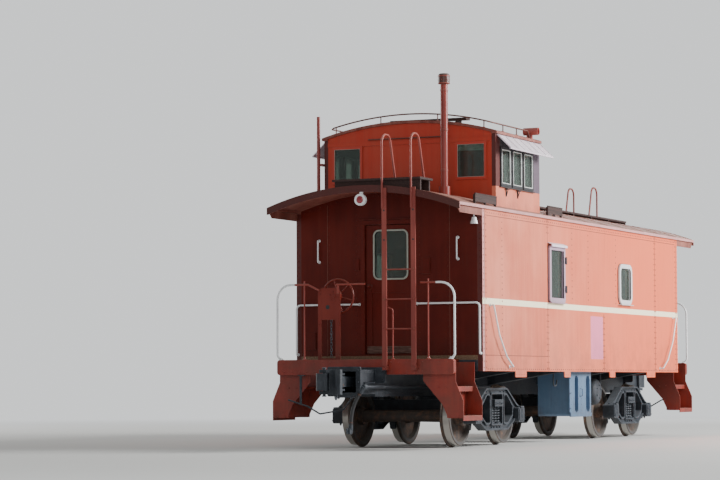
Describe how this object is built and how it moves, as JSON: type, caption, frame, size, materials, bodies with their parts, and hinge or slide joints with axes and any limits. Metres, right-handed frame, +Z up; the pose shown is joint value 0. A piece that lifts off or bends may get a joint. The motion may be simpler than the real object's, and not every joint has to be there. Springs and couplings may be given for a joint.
{
  "type": "railway caboose",
  "caption": "Steel cupola caboose with end platforms, ladders and railings, on two four-wheel swivelling trucks.",
  "frame": {"origin": "centre of the bounding box at the lowest point of the wheel flanges", "axes": "+X along the track away from the cupola end, +Y to the left side, +Z up"},
  "size_m": [13.24, 3.094, 5.2648],
  "materials": {
    "body_red": "satin, sun faded",
    "salmon_side": "matt, sun faded",
    "pale_awning": "matt, chalky",
    "sash_white": "satin",
    "rail_white": "gloss",
    "running_gear": "dusty matt paint",
    "wheel_steel": "brown grime, bare tread",
    "grey_blue": "satin",
    "roof_board": "matt",
    "pane": "clear",
    "lamp_shell": "gloss",
    "floor_board": "worn",
    "hose_rubber": "dusty"
  },
  "bodies": {
    "car": {"underframe": "running_gear", "platform_near": "body_red", "platform_far": "body_red", "corner_steps": "body_red", "cabin_floor": "floor_board", "side_wall_right": "salmon_side", "side_wall_left": "salmon_side", "end_wall_near": "body_red", "end_wall_far": "body_red", "roof": "body_red", "cupola_wall_right": "body_red", "cupola_wall_left": "body_red", "cupola_wall_near": "body_red", "cupola_wall_far": "body_red", "cupola_roof": "body_red", "window_frames": "sash_white", "window_glass": "pane", "window_awnings": "pale_awning", "roof_walks": "roof_board", "cupola_rails": "body_red", "smokestack": "body_red", "vent_pipe": "body_red", "end_ladders": "body_red", "end_railings": "rail_white", "handrails": "rail_white", "hand_brakes": "body_red", "lamps": "lamp_shell", "battery_box": "grey_blue", "air_brake_gear": "running_gear", "train_pipe": "running_gear", "air_hose_near": "hose_rubber", "hose_coupling_near": "running_gear", "uncoupling_levers": "running_gear", "draft_housings": "running_gear"},
    "door_near": {"door_near": "body_red", "door_glass_near": "pane"},
    "coupler_near": {"coupler_near": "running_gear"},
    "knuckle_near": {"knuckle_near": "running_gear"},
    "truck_near": {"side_frames_near": "running_gear", "bolster_near": "running_gear", "springs_near": "running_gear", "brake_beams_near": "running_gear"},
    "wheelset_near_outer": {"wheelset_near_outer": "wheel_steel"},
    "wheelset_near_inner": {"wheelset_near_inner": "wheel_steel"},
    "door_far": {"door_far": "body_red", "door_glass_far": "pane"},
    "coupler_far": {"coupler_far": "running_gear"},
    "knuckle_far": {"knuckle_far": "running_gear"},
    "truck_far": {"side_frames_far": "running_gear", "bolster_far": "running_gear", "springs_far": "running_gear", "brake_beams_far": "running_gear"},
    "wheelset_far_outer": {"wheelset_far_outer": "wheel_steel"},
    "wheelset_far_inner": {"wheelset_far_inner": "wheel_steel"}
  },
  "joints": [
    {"name": "truck_swivel_near", "type": "hinge", "parent": "car", "child": "truck_near", "pos_m": [-3.03, 0, 0.679], "axis": [0, 0, 1], "range_deg": [-6, 6]},
    {"name": "door_hinge_near", "type": "hinge", "parent": "car", "child": "door_near", "pos_m": [-4.436, -0.35, 2.225], "axis": [0, 0, -1], "range_deg": [0, 90]},
    {"name": "coupler_swing_near", "type": "hinge", "parent": "car", "child": "coupler_near", "pos_m": [-5.5, 0, 0.926], "axis": [0, 0, 1], "range_deg": [-7, 7]},
    {"name": "knuckle_near", "type": "hinge", "parent": "coupler_near", "child": "knuckle_near", "pos_m": [-6.43, 0.105, 0.926], "axis": [0, 0, -1], "range_deg": [0, 40]},
    {"name": "axle_near_outer", "type": "hinge", "parent": "truck_near", "child": "wheelset_near_outer", "pos_m": [-3.88, 0, 0.444], "axis": [0, 1, 0], "continuous": true},
    {"name": "axle_near_inner", "type": "hinge", "parent": "truck_near", "child": "wheelset_near_inner", "pos_m": [-2.18, 0, 0.444], "axis": [0, 1, 0], "continuous": true},
    {"name": "truck_swivel_far", "type": "hinge", "parent": "car", "child": "truck_far", "pos_m": [3.03, 0, 0.679], "axis": [0, 0, 1], "range_deg": [-6, 6]},
    {"name": "door_hinge_far", "type": "hinge", "parent": "car", "child": "door_far", "pos_m": [4.436, 0.35, 2.225], "axis": [0, 0, -1], "range_deg": [0, 90]},
    {"name": "coupler_swing_far", "type": "hinge", "parent": "car", "child": "coupler_far", "pos_m": [5.5, 0, 0.926], "axis": [0, 0, 1], "range_deg": [-7, 7]},
    {"name": "knuckle_far", "type": "hinge", "parent": "coupler_far", "child": "knuckle_far", "pos_m": [6.43, -0.105, 0.926], "axis": [0, 0, -1], "range_deg": [0, 40]},
    {"name": "axle_far_outer", "type": "hinge", "parent": "truck_far", "child": "wheelset_far_outer", "pos_m": [3.88, 0, 0.444], "axis": [0, 1, 0], "continuous": true},
    {"name": "axle_far_inner", "type": "hinge", "parent": "truck_far", "child": "wheelset_far_inner", "pos_m": [2.18, 0, 0.444], "axis": [0, 1, 0], "continuous": true}
  ]
}
